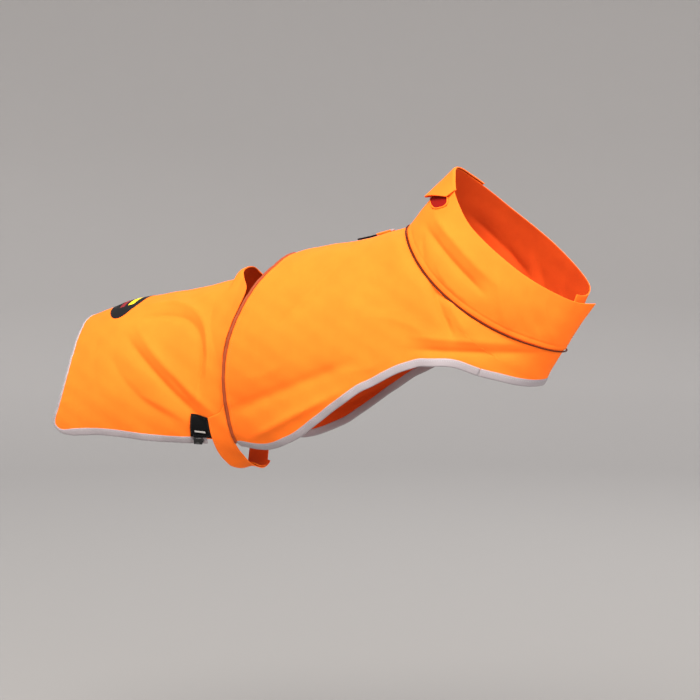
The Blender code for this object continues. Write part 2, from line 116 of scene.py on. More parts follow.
def table_values(table, key):
    """Values at a key in a table's first column."""
    place = np.interp(key, [row[0] for row in table], range(len(table)))
    return between_rows(np.array([row[1:] for row in table], float), place).T


# %% The rings, in millimetres
# widest: how far down a ring it is widest. bow: how far it bends to the rear. hem: how far down the rear hem is.
Ring = namedtuple("Ring", "name top_x top_z low_x low_z half_width widest bow hem")
RINGS = (
    Ring("rear hem", -484, -128, -582, -410, 93, 0.44, -30, 0.590),
    Ring("rump", -402, -100, -420, -402, 105, 0.46, -6, 0.645),
    Ring("loin", -322, -86, -330, -382, 103, 0.47, 2, 0.728),
    Ring("waist", -252, -70, -265, -362, 97, 0.48, 8, 0.800),
    Ring("rear panel edge", -207, -55, -213, -347, 98, 0.48, 24, 0.860),
    Ring("front panel edge", -150, -29, -202, -347, 101, 0.48, 38, 0.872),
    Ring("ribs", -92, -14, -75, -392, 117, 0.47, 18, 0.860),
    Ring("shoulder", -40, -6, 66, -404, 121, 0.47, 8, 0.860),
    Ring("shoulder point", 4, 5, 200, -325, 116, 0.48, 6, 0.860),
    Ring("chest", 25, 11, 246, -203, 108, 0.48, 12, 0.860),
    Ring("collar seam", 41, 16, 272, -159, 98, 0.48, 25, 0.860),
)
RING_ROWS = np.array([ring[1:] for ring in RINGS], float)
HALF_WIDTH, WIDEST, HEM_DOWN = 4, 5, 7      # columns of RING_ROWS
REAR_EDGE, FRONT_EDGE, CHEST, SEAM = 4, 5, 9, 10
CLOTH = 1.6                 # wall of the coat's cloth
SEAM_GAP = 0.35             # clear space between two pieces at a seam
STEP_OUT = CLOTH + 0.8      # from one layer of cloth to the layer that lies on it
print("rings:", len(RINGS), "from", RINGS[0].name, "to", RINGS[-1].name)


# %% Points and directions on the rings
def unit(vectors):
    return vectors / np.linalg.norm(vectors, axis=-1, keepdims=True)


def steps_along(points):
    """Distances from each point of a line to the next."""
    return np.linalg.norm(np.diff(points, axis=0), axis=1)


def round_ring(top_x, top_z, low_x, low_z, half_width, widest, bow, angle):
    turn = np.radians(angle)
    down = np.where(np.cos(turn) > 0, widest * (1 - np.cos(turn)), widest - (1 - widest) * np.cos(turn))
    run_x, run_z = low_x - top_x, low_z - top_z
    swing = bow * np.sin(turn) ** 2 / np.hypot(run_x, run_z)
    return np.stack((top_x + down * run_x + swing * run_z, half_width * np.sin(turn),
                     top_z + down * run_z - swing * run_x), -1)


def ring_sizes(place):
    """The rings' sizes at places along them, one row for each column of the table."""
    return between_rows(RING_ROWS, place).T


def ring_point(place, angle):
    """Points at places along the rings and angles round them."""
    return round_ring(*ring_sizes(place)[:HEM_DOWN], angle)


def outward(surface, a, b, step_a=0.02, step_b=0.8):
    """Outward direction of a surface at its two coordinates, taken just inside its first row."""
    a = np.maximum(a, step_a)
    across = surface(a + step_a, b) - surface(a - step_a, b)
    round_way = surface(a, b + step_b) - surface(a, b - step_b)
    return unit(np.cross(across, round_way))


def angle_down(place, down):
    """Angle at which a ring is a given share of its height down."""
    widest = ring_sizes(place)[WIDEST]
    cosine = np.where(down < widest, 1 - down / widest, (widest - down) / (1 - widest))
    return np.degrees(np.arccos(np.clip(cosine, -1.0, 1.0)))


def rear_hem_angle(place):
    return angle_down(place, ring_sizes(place)[HEM_DOWN])


def place_behind(place, angle, distance):
    """Ring places that lie a distance behind others along the cloth, found by halving."""
    start, low, high = ring_point(place, angle), place - 3.0, place + 0.0
    for _ in range(24):
        middle = (low + high) / 2
        far = np.linalg.norm(ring_point(middle, angle) - start, axis=-1) > distance
        low, high = np.where(far, middle, low), np.where(far, high, middle)
    return high


# %% [markdown]
# ## Creases
# Rain cloth this smooth shows few creases, but each one leads somewhere: from the strap's pull up over the loin, from
# the shoulder down to the hem, and round the neck. A crease is a line in the side view with a width and a depth, so
# it can be placed where the real one is. A trough gets a soft bed and a narrower core, as thin cloth
# has. The hidden side gets creases of the same kind in other places, and a slow wander keeps the cloth from
# looking machined.

# %% Crease tables, in millimetres
# depth: plus stands out, minus is a trough. bend: bow of the line at its middle.
Crease = namedtuple("Crease", "side start_x start_z end_x end_z width depth bend")


def creases(side, *rows):
    """One side's rows: start_x, start_z, end_x, end_z, width, depth, bend."""
    return [Crease(side, *row) for row in rows]


PANEL_CREASES = creases(
    RIGHT,
    (-373, -165, -268, -266, 12, -6.5, 0), (-359, -151, -252, -250, 12, 4.5, 0), (-400, -194, -310, -270, 12, -2.4, 8),
    (-347, -121, -258, -212, 10, -5, -43), (-345, -104, -246, -200, 9, 3.2, -43), (-45, -36, -128, -128, 20, -4.2, 0),
    (-192, -252, -24, -184, 24, -7.5, 0), (-163, -289, -38, -226, 11, 5, 0), (110, -66, 139, -130, 10, -5.5, 0),
    (100, -156, 240, -160, 11, -4.5, 0), (-352, -240, -290, -272, 8, 1.3, -3), (-300, -212, -262, -258, 6, -1.1, 2),
    (-440, -160, -420, -240, 16, -1.2, 5), (-250, -100, -232, -170, 8, -1.0, 4), (-118, -262, -66, -240, 7, 1.2, 2),
    (-168, -205, -120, -185, 11, 0.9, 3), (-20, -60, 40, -100, 18, -1.4, 6), (20, -110, 96, -128, 12, 1.2, -4),
    (132, -86, 158, -128, 9, 2.8, 0), (96, -138, 214, -146, 9, 2.0, 0), (-150, -70, -186, -150, 10, -1.0, 4),
    (-36, -190, 40, -176, 12, 1.0, 5),
) + creases(
    LEFT,
    (-366, -156, -264, -260, 13, -6, 0), (-350, -140, -248, -244, 12, 4, 0), (-405, -205, -300, -272, 12, -3, 9),
    (-340, -116, -256, -196, 11, -3.5, -36), (-52, -38, -136, -140, 21, -4, 0), (-180, -252, -30, -200, 18, -4.5, 0),
    (-150, -286, -48, -236, 14, 4.6, 0), (90, -154, 228, -162, 12, -4, 0), (-410, -150, -350, -220, 10, -1.8, -5),
    (-300, -200, -256, -254, 7, 1.3, 2), (-440, -190, -400, -255, 13, -1.4, 3), (-125, -245, -50, -214, 9, 1.4, 3),
    (-10, -66, 48, -112, 17, -1.5, -5), (30, -118, 110, -132, 12, 1.3, 4), (112, -76, 134, -122, 8, -2.2, 2),
    (-145, -80, -180, -160, 11, -1.1, -4),
)
COLLAR_CREASES = creases(
    RIGHT,
    (96, 8, 174, -66, 12, -6.5, 0), (111, 22, 188, -51, 12, 4.5, 0), (203, -52, 212, -122, 8, 2.3, 0),
    (240, -75, 252, -125, 10, -1.6, 0), (84, 2, 92, -32, 7, -1.5, 2), (118, -46, 160, -84, 9, 1.4, 4),
    (186, -30, 196, -96, 7, -1.4, -3), (222, -64, 232, -122, 7, -1.3, 2), (262, -88, 268, -138, 7, 1.2, 2),
) + creases(
    LEFT,
    (104, 6, 176, -72, 13, -6, 0), (120, 19, 190, -56, 12, 4, 0), (212, -48, 226, -118, 10, 2.4, 0),
    (94, 10, 106, -36, 9, -1.5, 4), (160, -14, 186, -88, 9, 1.4, -4), (196, -34, 206, -104, 8, -1.4, 3),
    (246, -78, 258, -132, 8, -1.2, 2),
)
print("creases:", len(PANEL_CREASES), "on the panels,", len(COLLAR_CREASES), "on the collar")


# %% What creases, slack and hems do to the cloth
def crease_depth(points, table):
    """How far a table's creases move points out of the smooth surface."""
    depth = np.zeros(len(points))
    for crease in table:
        start = np.array((crease.start_x, crease.start_z), float)
        run = np.array((crease.end_x, crease.end_z)) - start
        length = np.linalg.norm(run)
        reach = points[:, [0, 2]] - start
        t = reach @ run / length ** 2
        away = (reach[:, 0] * run[1] - reach[:, 1] * run[0]) / length - crease.bend * 4 * t * (1 - t)
        bed, core = np.exp(-(away / crease.width) ** 2), np.exp(-(away / (0.38 * crease.width)) ** 2)
        ends = ease(-0.28, 0.18, t) * (1 - ease(0.82, 1.25, t))
        spine = ease(0, 25, crease.side * points[:, 1])
        depth += crease.depth * ends * (0.6 * bed + 0.4 * core) * spine
    return depth


def wander(points):
    """Slow swells of cloth that isn't pulled tight, most of them well under a millimetre."""
    x, y, z = points.T
    return (0.42 * np.sin(x / 23 + 0.9) * np.sin(z / 19 + 2.1) + 0.32 * np.sin(x / 13 + z / 21 + 0.4)
            + 0.22 * np.sin((x + 1.7 * z) / 9 + y / 31))


def ripple(from_edge, along):
    """Small puckers that a stitched hem draws into the cloth beside it."""
    waves = 0.6 * np.sin(along / 2.1) + 0.4 * np.sin(along / 3.7 + 1.0) + 0.35 * np.sin(along / 6.3 + 2.0)
    return 0.34 * np.exp(-(from_edge / 8.0) ** 2) * waves


# %% The cloth of the two panels
RING_STEP, DEGREE_STEP = 75.0, 2.05         # millimetres to a ring and to a degree on the rear panel
EDGE_STEP, SEAM_STEP, NECK_DEGREE_STEP = 55.0, 30.0, 1.7    # and by the front panel's rear edge and its neck
PUCKER_HEIGHT, PUCKER_HALF_ANGLE, PUCKER_LENGTH = 10.5, 24.0, 0.42


def panel_cloth(place, angle, out=0.0):
    """Middle of the panels' cloth, moved out by a number of millimetres."""
    base = ring_point(place, angle)
    depth = crease_depth(base, PANEL_CREASES) + wander(base) + out
    return base + outward(ring_point, place, angle) * depth[:, None]


def rear_cloth(place, angle, out=0.0):
    start = REAR_EDGE - PUCKER_LENGTH
    rise = ease(start - 0.18, start + 0.12, place) * (1 - 0.5 * ease(REAR_EDGE - 0.15, REAR_EDGE, place))
    pucker = PUCKER_HEIGHT * rise * np.exp(-(angle / PUCKER_HALF_ANGLE) ** 4)
    to_hem = (rear_hem_angle(place) - np.abs(angle)) * DEGREE_STEP
    puckers = ripple(to_hem, place * RING_STEP) + ripple(place * RING_STEP, angle * DEGREE_STEP)
    return panel_cloth(place, angle, pucker + puckers + out)


def front_cloth(place, angle, out=0.0):
    """The front panel's rear lower corner lies on the rear panel, one layer out."""
    corner = STEP_OUT * ease(52, 76, np.abs(angle)) * (1 - ease(5.25, 5.7, place))
    puckers = (ripple((place - FRONT_EDGE) * EDGE_STEP, angle * DEGREE_STEP)
               + ripple((SEAM - place) * SEAM_STEP, angle * NECK_DEGREE_STEP))
    return panel_cloth(place, angle, corner + puckers + out)


def trimmed(place, angle):
    """Pulls the front panel's rear edge forward, so that the piping outside it lies where the real one does."""
    shift = 0.05 + 0.07 * (1 - ease(12, 48, np.abs(angle)))
    return place + shift * np.maximum(0.0, 1 - (place - FRONT_EDGE) / 0.6)


# %% [markdown]
# ## From a flat grid to a piece of cloth
# Blender's own grid is a flat cloth with a ready UV map. Each of its points is laid on the rings, which keeps the
# rows of quads running with the body, and the UV map is stretched to metres, so a weave that is drawn on it keeps
# its real size. Solidify then gives the wall, and a small bevel rounds the turned edges.

# %% Helpers that finish a piece
def moved(bm, centre, ways):
    """Turns and moves a small solid, made in millimetres round the origin, to its place on the cloth."""
    axes = Matrix([list(way) for way in ways]).transposed().to_4x4()
    place = Matrix.Translation(Vector(centre * MM)) @ axes @ Matrix.Scale(MM, 4)
    bmesh.ops.transform(bm, matrix=place, verts=bm.verts)


def mesh_object(name, bm, material):
    mesh = bpy.data.meshes.new(name)
    bm.to_mesh(mesh)
    bm.free()
    mesh.shade_smooth()
    mesh.materials.append(material)
    return new_object(name, mesh)


def finished(name, bm, material):
    """A piece of the coat, which rides on its one body."""
    piece = mesh_object(name, bm, material)
    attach(piece, "root")
    return piece


def thicken(piece, wall, edge=0.45, inside=None):
    """A wall of cloth on both sides of the sheet, with softly rounded edges and a darker inner face, painted shade,
    where one is given.
    """
    solid = piece.modifiers.new("Wall", "SOLIDIFY")
    solid.thickness, solid.offset = wall * MM, 0.0
    if inside:
        piece.data.materials.append(inside)
        solid.material_offset = 1
    soft = piece.modifiers.new("Turned edge", "BEVEL")
    soft.width, soft.segments, soft.limit_method, soft.angle_limit = edge * MM, 2, "ANGLE", math.radians(50)
    soft.use_clamp_overlap = True
    return piece


# %% A helper that lays a grid on a surface
def laid_grid(name, cells, surface, size, material, weld=False, cap=False):
    """A grid whose points lie on surface(u, v), u and v from 0 to 1. size is the flat size in millimetres."""
    bm = bmesh.new()
    layer = bm.loops.layers.uv.new("UVMap")
    bmesh.ops.create_grid(bm, x_segments=cells[0], y_segments=cells[1], size=0.5, calc_uvs=True)
    shares = np.array([vert.co[:2] for vert in bm.verts]) + 0.5
    points = surface(shares[:, 0], shares[:, 1]) * MM
    for vert, point in zip(bm.verts, points):
        vert.co = point
    for face in bm.faces:
        for loop in face.loops:
            uv = loop[layer].uv
            loop[layer].uv = (uv.x * size[0] * MM, uv.y * size[1] * MM)
    if weld:
        bmesh.ops.remove_doubles(bm, verts=bm.verts, dist=0.01 * MM)
    if cap:
        open_edges = [edge for edge in bm.edges if edge.is_boundary]
        bmesh.ops.holes_fill(bm, edges=open_edges, sides=0)
        bmesh.ops.recalc_face_normals(bm, faces=bm.faces)
    return finished(name, bm, material)


# %% [markdown]
# ## Colours and finishes
# Every finish starts from what the real material is. Colours are given as sRGB values, turned to the
# linear values that the shader needs by one function. The others add a node with its settings and links, so each
# material reads as a short list of what the stuff is made of.

# %% Small helpers for materials
def linear(code):
    """An sRGB hex colour as linear red, green, blue and alpha."""
    parts = [int(code[i:i + 2], 16) / 255 for i in (1, 3, 5)]
    return tuple(c / 12.92 if c <= 0.04045 else ((c + 0.055) / 1.055) ** 2.4 for c in parts) + (1.0,)


def add(material, kind, settings=(), links=()):
    """Adds a node. A setting is a property or an input, and a link joins an output to an input."""
    tree = material.node_tree
    made = tree.nodes.new("ShaderNode" + kind)
    for key, value in dict(settings).items():
        if isinstance(key, str) and hasattr(made, key):
            setattr(made, key, value)
        else:
            made.inputs[key].default_value = value
    for key, source in dict(links).items():
        tree.links.new(source, made.inputs[key])
    return made


def new_material(name, settings):
    """A material, its shader and the coordinates that its textures are drawn in."""
    material = bpy.data.materials.new(name)
    material.use_nodes = True
    shader = material.node_tree.nodes["Principled BSDF"]
    for key, value in settings.items():
        shader.inputs[key].default_value = value
    return material, shader, add(material, "TexCoord")


def join(material, output, socket):
    material.node_tree.links.new(output, socket)


# %% Helpers for relief, colour and texture
def bump(material, shader, height, strength, distance, under=None):
    """Makes the shader's light follow a height, over another bump where one is given."""
    made = add(material, "Bump", {"Strength": strength, "Distance": distance}, {"Height": height})
    if under:
        join(material, under.outputs["Normal"], made.inputs["Normal"])
    join(material, made.outputs["Normal"], shader.inputs["Normal"])
    return made


def colour_ramp(material, share, stops, interpolation="LINEAR"):
    """Colours for a share from 0 to 1. stops are rows of position and sRGB colour."""
    made = add(material, "ValToRGB", (), {"Fac": share})
    made.color_ramp.interpolation = interpolation
    elements = made.color_ramp.elements
    while len(elements) < len(stops):
        elements.new(0.5)
    for stop, (position, colour) in zip(elements, stops):
        stop.position, stop.color = position, linear(colour)
    return made.outputs["Color"]


def noise(material, place, size, **settings):
    """Noise of the object's own space, with swells of a size in metres."""
    made = add(material, "TexNoise", {"Scale": 1 / size, **settings}, {"Vector": place.outputs["Object"]})
    return made.outputs["Fac"]


def threads(material, place, way, pitch, **settings):
    """Bands across the UV map that repeat once in a number of millimetres."""
    scale = 2 * math.pi / (20 * pitch * MM)
    made = add(material, "TexWave", {"wave_type": "BANDS", "bands_direction": way, "Scale": scale, **settings},
               {"Vector": place.outputs["UV"]})
    return made.outputs["Fac"]


# %% [markdown]
# ### The rain cloth
# The coat is a laminated polyester soft shell, dyed with a fluorescent orange. The face is so smooth and fine that a
# thread can't be seen from a step away, but the light shows it: the cloth has no hard gloss, a soft velvet edge, and
# faint crumples. The dye sends back nearly all red light, much less green and hardly any blue, so bright places
# turn towards yellow and the shaded ones towards red by themselves. That needs no painted shading on the outer face.
# The inner face is a darker copy of the same cloth: painted shade for the inside of the worn coat.

# %% Fluorescent orange soft shell
def cloth_material(name, light, dark, roughness=0.78):
    """Woven polyester. Threads are 0.35 mm apart, drawn twice as coarse so that they show close up."""
    material, shader, place = new_material(name, {
        "Roughness": roughness, "Sheen Weight": 0.05, "Sheen Roughness": 0.45, "Sheen Tint": linear("#ffb545"),
        "Specular IOR Level": 0.08})
    mottle = noise(material, place, 0.045, Detail=3.0, Roughness=0.55)
    join(material, colour_ramp(material, mottle, ((0.32, dark), (0.68, light))), shader.inputs["Base Color"])
    weave = add(material, "Math", {"operation": "MULTIPLY"},
                {k: threads(material, place, way, 0.7) for k, way in enumerate("XY")})
    woven = bump(material, shader, weave.outputs[0], 0.35, 0.06 * MM)
    crumple = noise(material, place, 0.016, Detail=4.0, Roughness=0.5, Distortion=0.4)
    bump(material, shader, crumple, 0.28, 1.2 * MM, woven)
    return material


orange_shell = cloth_material("fluorescent_orange_polyester_softshell", "#ff7521", "#fd701f")
# The inner face: the same orange cloth, painted darker as the shade that falls inside the worn coat.
inner_face_painted_shade = cloth_material("deep_orange_brushed_lining", "#c84414", "#bd3d12", 0.9)
# The mouths under the nape flap: a still darker red, painted shade for their hollows.
hollow_painted_shade = cloth_material("dark_red_shaded_lining", "#8c120e", "#7d100c", 0.9)

# %% [markdown]
# ### Bindings, pipings and webbing
# The hems are bound with a lavender-grey reflective polyester tape: a satin face over glass beads, so it is a
# little brighter and glossier than cloth. The pipings are the same idea in two browns, the darker one in the collar
# seam. Webbing is coarser: its ribs lie across it and can be seen. Threads are polyester too, with a slight gloss.

# %% Tape, piping, webbing, thread and plastic
def ribbed_material(name, colour, pitch, depth, roughness, gloss=0.5, way="X", sheen=0.0):
    """Tape or webbing with ribs a pitch apart across its UV map, and a little lighter where it is worn."""
    material, shader, place = new_material(name, {
        "Roughness": roughness, "Specular IOR Level": gloss, "Sheen Weight": sheen})
    ribs = threads(material, place, way, pitch, Distortion=0.6, Detail=1.0)
    worn = noise(material, place, 0.02, Detail=3.0)
    light = [min(1.0, c * 1.14) for c in linear(colour)[:3]] + [1.0]
    shade = add(material, "Mix", {"data_type": "RGBA"}, {0: worn})
    shade.inputs[6].default_value, shade.inputs[7].default_value = linear(colour), light
    join(material, shade.outputs[2], shader.inputs["Base Color"])
    bump(material, shader, ribs, 0.6, depth * MM)
    return material


# name, colour, pitch and depth of the ribs in millimetres, roughness, gloss
grey_tape = ribbed_material("lavender_grey_reflective_tape", "#8e8588", 0.9, 0.05, 0.5, 0.45, sheen=0.1)
dark_piping = ribbed_material("dark_reflective_piping", "#4a1a08", 1.2, 0.06, 0.6, 0.12)
brown_piping = ribbed_material("brown_reflective_piping", "#8f3f20", 1.2, 0.06, 0.6, 0.15)
black_webbing = ribbed_material("black_polypropylene_webbing", "#050506", 1.4, 0.22, 0.75, 0.12, way="Y")
# The tab's bar is real, and its light grey is a painted highlight: the glint that the bar's edge catches.
painted_highlight_bar = ribbed_material("silver_woven_ribbon", "#a5a19d", 0.8, 0.06, 0.5)
orange_thread, grey_thread, black_thread = (
    ribbed_material(name + "_polyester_thread", colour, 0.4, 0.03, 0.5)
    for name, colour in (("orange", "#ff7a30"), ("grey", "#a9a5ae"), ("black", "#232327")))

# Injection-moulded acetal has a fine spark-eroded grain, half a millimetre apart, that breaks its gloss.
black_plastic, shader, place = new_material("black_moulded_acetal", {"Base Color": linear("#08080a")})
fine = noise(black_plastic, place, 0.5 * MM, Detail=2.0)
gloss = add(black_plastic, "MapRange", {"To Min": 0.27, "To Max": 0.43}, {"Value": fine})
join(black_plastic, gloss.outputs["Result"], shader.inputs["Roughness"])
bump(black_plastic, shader, fine, 0.3, 0.04 * MM)
print("materials:", len([m for m in bpy.data.materials if m.use_nodes]))

# %% [markdown]
# ## Threads and edges
# A row of stitching is what makes a hem look sewn. Each stitch is a small pointed bead that sinks a little into the
# cloth, and they follow the seam at a constant stitch length. To place them, a line on the cloth is first walked
# in even steps. The same even steps carry the bindings and the pipings: a closed profile is swept along the line.

# %% Helpers for lines on the cloth
def even_line(surface, a, b, step, out=0.0):
    """Walks a line of coordinates a and b in even steps: points, outward directions and the coordinate pairs."""
    a, b = (np.array(c, float) for c in np.broadcast_arrays(a, b))
    points = surface(a, b)
    length = np.concatenate(((0.0,), np.cumsum(steps_along(points))))
    at = np.linspace(0.0, length[-1], max(2, int(length[-1] / step) + 1))
    a, b = np.interp(at, length, a), np.interp(at, length, b)
    return surface(a, b, out), outward(surface, a, b), np.stack((a, b), -1)


def stitches(name, rows, material, length=2.5, width=0.5):
    """Rows of points and outward directions, as even_line gives them. Every stitch is one small bead of thread."""
    bm = bmesh.new()
    count = 0
    for points, normals, *_ in rows:
        along = unit(np.gradient(points, axis=0))
        for point, way, up in zip(points[1:-1], along[1:-1], normals[1:-1]):
            side = np.cross(up, way)
            axes = Matrix((way * length / 2, side * width / 2, up * width / 2)).transposed() * MM
            placed = Matrix.Translation(Vector(point * MM)) @ axes.to_4x4()
            bmesh.ops.create_icosphere(bm, subdivisions=1, radius=1.0, matrix=placed)
            count += 1
    print(name, "has", count, "stitches")
    return finished(name, bm, material)


def swept(name, points, out_way, up_way, profile, material, closed=False):
    """Sweeps a closed profile of (out, up) pairs along a line of points."""
    stations, corners = len(points), len(profile)
    profile = np.array(list(profile) + [profile[0]])

    def surface(u, v):
        i = np.rint(u * (stations - 1)).astype(int)
        j = np.rint(v * corners).astype(int)
        return points[i] + out_way[i] * profile[j, :1] + up_way[i] * profile[j, 1:]

    flat = steps_along(points).sum(), steps_along(profile).sum()
    return laid_grid(name, (stations - 1, corners), surface, flat, material, weld=True, cap=not closed)


def rounded_profile(inner, outer, thick, corners=16, square=0.62):
    """A flattened, rounded band from inner to outer, as wide cloth folded round an edge."""
    turns = [2 * math.pi * k / corners for k in range(corners)]
    def swell(value):
        return math.copysign(abs(value) ** square, value)
    return [((inner + outer) / 2 + (outer - inner) / 2 * swell(math.cos(t)), thick / 2 * swell(math.sin(t)))
            for t in turns]


# %% [markdown]
# ## The rear panel
# A saddle of one cloth over the loin and rump, cut with round lower corners. Its front edge stands up in a small
# pucker at the spine. Its rows run from the rear hem forwards, so the creases that the strap pulls have plenty
# of points to bend.

# %% Rear panel
CORNER_RADIUS = 20.0
REAR_FLAT = (285.0, 610.0)      # the UV map's size: the cloth's mean run along the back and round the body
BINDING_WIDTH, BINDING_INWARD, BINDING_THICK = 9.0, 2.6, 2.8
REAR_BOUND = 15 / 24            # share of the rear panel's hem that is bound, up to the belly strap


def rounded_corner(from_rear, from_hem, radius):
    """Moves points near a square corner so that the corner becomes round."""
    a, b = np.maximum(0.0, 1 - from_rear / radius), np.maximum(0.0, 1 - from_hem / radius)
    return (np.where(a > 0, radius * (1 - a * np.sqrt(1 - b * b / 2)), from_rear),
            np.where(b > 0, radius * (1 - b * np.sqrt(1 - a * a / 2)), from_hem))


def rear_shares(u, v):
    """Ring places and angles of the rear panel: u from the rear hem forwards, v from the right hem to the left."""
    share = 2 * v - 1
    aside = np.abs(share)
    # the front edge shows at the spine, and beside it and at the straps it runs on under the front panel
    tuck = 0.92 * ease(0.08, 0.42, aside) + 0.3 * ease(0.62, 0.80, aside) - 0.12
    place = (REAR_EDGE + tuck) * u
    limit = rear_hem_angle(place)
    from_rear, from_hem = rounded_corner(place * RING_STEP, limit * (1 - aside) * DEGREE_STEP, CORNER_RADIUS)
    return from_rear / RING_STEP, np.copysign(limit - from_hem / DEGREE_STEP, share)


def rear_surface(u, v):
    return rear_cloth(*rear_shares(u, v))


def cloth_piece(name, node, cells, surface, flat, edge=0.45, weld=False):
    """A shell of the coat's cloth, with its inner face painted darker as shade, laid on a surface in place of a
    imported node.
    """
    piece = laid_grid(name, cells, surface, flat, orange_shell, weld)
    thicken(piece, CLOTH, edge, inner_face_painted_shade)
    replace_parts(piece, node)
    print(name, "has", len(piece.data.polygons), "quads")
    return piece


rear_panel = cloth_piece("rear_panel_cloth", "rear_panel", (110, 190), rear_surface, REAR_FLAT)

# %% [markdown]
# ## The rear hem binding
# The tape is folded round the raw edge and sewn through, so it is a flat, rounded band that swallows the edge of
# the cloth. It runs up one lower edge, over the rump and down the other side in one length.

# %% Rear binding and its stitching
def edge_way(points, normals, sign):
    """Direction that leads out of the cloth at its edge."""
    return sign * unit(np.cross(np.gradient(points, axis=0), normals))


STATION = 2.6               # millimetres between the stations of tapes and pipings


def rear_edge_line(step):
    """Line along the right hem, round the rump and along the left hem."""
    right = [(u, 0.0) for u in np.linspace(REAR_BOUND, 0.0, 60)]
    rump = [(0.0, v) for v in np.linspace(0.0, 1.0, 120)[1:-1]]
    left = [(u, 1.0) for u in np.linspace(0.0, REAR_BOUND, 60)]
    u, v = np.array(right + rump + left).T
    return even_line(rear_cloth, *rear_shares(u, v), step)


def tape_share(pairs):
    """The tape's width as a share: over the rump it is folded round the edge and only a third of it shows."""
    return 0.36 + 0.64 * ease(0.06, 0.42, pairs[:, :1])


points, normals, pairs = rear_edge_line(STATION)
hem_profile = rounded_profile(-BINDING_INWARD, SEAM_GAP + BINDING_WIDTH, BINDING_THICK)
rear_binding = swept("rear_hem_tape", points, edge_way(points, normals, -1) * tape_share(pairs), normals, hem_profile,
                     grey_tape)
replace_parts(rear_binding, "rear_hem_binding")
print("rear binding:", len(points), "stations, middle of the rump at", points[len(points) // 2].round(0))

# %% [markdown]
# ## The front panel
# A poncho from the collar seam to the piped rear edge and the curved hem, closed all round at the chest. Its hem
# is a short table: for a ring place, how far down the ring the cloth ends. Where the hem meets the middle of the
# chest the panel becomes a tube, and the two sides are welded there.

# %% Front panel
Hem = namedtuple("Hem", "ring down")
FRONT_HEM = (
    Hem(5.0, 0.880), Hem(5.5, 0.830), Hem(5.83, 0.745), Hem(6.24, 0.644), Hem(6.61, 0.564), Hem(7.06, 0.498),
    Hem(7.48, 0.480), Hem(7.84, 0.499), Hem(8.26, 0.573), Hem(8.49, 0.650), Hem(8.67, 0.768), Hem(8.79, 0.850),
    Hem(8.88, 0.925), Hem(8.95, 0.975), Hem(9.0, 1.0),
)
HEM_ROWS = np.array(FRONT_HEM, float)
FRONT_CELLS = (120, 20, 220)    # along the hem to the chest, up to the collar seam, round the body
FRONT_FLAT = (400.0, 1000.0)
JOINT = 17 / 24                 # share of the hem where the hem tape meets the chest tape


def hem_place(share):
    """Ring place and hem angle at a share of the way along the hem, from the rear corner to the chest."""
    ring, down = between_rows(HEM_ROWS, share * (len(HEM_ROWS) - 1)).T
    return ring, angle_down(ring, down)


def front_surface(u, v):
    along, up, _ = FRONT_CELLS
    row = u * (along + up)
    ring, limit = hem_place(np.minimum(row / along, 1.0))
    above = np.maximum(row - along, 0.0) / up
    place, limit = np.where(row < along, ring, CHEST + above), np.where(row < along, limit, 180.0)
    angle = (2 * v - 1) * limit
    return front_cloth(trimmed(place, angle), angle)


front_panel = cloth_piece("front_panel_cloth", "front_panel", (FRONT_CELLS[0] + FRONT_CELLS[1], FRONT_CELLS[2]),
                          front_surface, FRONT_FLAT, weld=True)

# %% Front hem tapes and the chest tape between them
def front_hem_line(first, last, side, step=STATION):
    """Line along one side's hem between two shares of it."""
    ring, limit = hem_place(np.linspace(first, last, 160))
    return even_line(front_cloth, trimmed(ring, side * limit), side * limit, step)


CLEAR = 0.0008      # share of the hem that is left clear at the joint
for name, side in SIDES:
    points, normals, _ = front_hem_line(0.0, JOINT - CLEAR, side)
    tape = swept("front_hem_tape_" + name, points, edge_way(points, normals, -side), normals, hem_profile, grey_tape)
    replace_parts(tape, "front_hem_binding_" + name)

halves = [(points, edge_way(points, normals, 1), normals) for points, normals, _ in (
    front_hem_line(JOINT + CLEAR, 1.0, RIGHT), front_hem_line(1.0, JOINT + CLEAR, LEFT))]
points, ways, normals = (np.concatenate((right, left[1:])) for right, left in zip(*halves))
chest_tape = swept("chest_tape", points, ways, normals, hem_profile, grey_tape)
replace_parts(chest_tape, "chest_binding")
print("chest tape:", len(points), "stations")

# %% [markdown]
# ## Pipings
# A piping is a cord in a narrow tape, caught in the seam, so only its round edge shows. One runs down the rear edge
# of the front panel. The other lies in the corner between the panel and the collar, all round the neck.

# %% Piping on the rear edge of the front panel
PIPING_RADIUS, CORD_RADIUS = 1.1, 2.5     # in the collar seam, and the softer cord on the panel's edge
ROUND = [(math.cos(t), math.sin(t)) for t in np.linspace(0, 2 * math.pi, 13)[:-1]]


def cord_profile(radius):
    return [(radius * a, radius * b) for a, b in ROUND]


_, edge_limit = hem_place(np.zeros(1))
angles = np.linspace(-edge_limit[0], edge_limit[0], 200)
points, normals, _ = even_line(front_cloth, trimmed(FRONT_EDGE, angles), angles, STATION)
ways = edge_way(points, normals, -1)
points = points + ways * (SEAM_GAP + CORD_RADIUS) + normals * 0.5
edge_piping = swept("edge_piping_cord", points, ways, normals, cord_profile(CORD_RADIUS), brown_piping)
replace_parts(edge_piping, "edge_piping")
print("edge piping starts at", points[0].round(0), "and its middle is at", points[len(points) // 2].round(0))

# %% [markdown]
# ## The collar
# A tall funnel from the seam to a slanted rim. Its two ends lap at the throat, the right one outside, and that
# corner stands off. The rim's height and flare are a table by angle, and the sides round out a little between
# seam and rim. A row of top-stitching above the piping presses a shallow groove into the cloth.

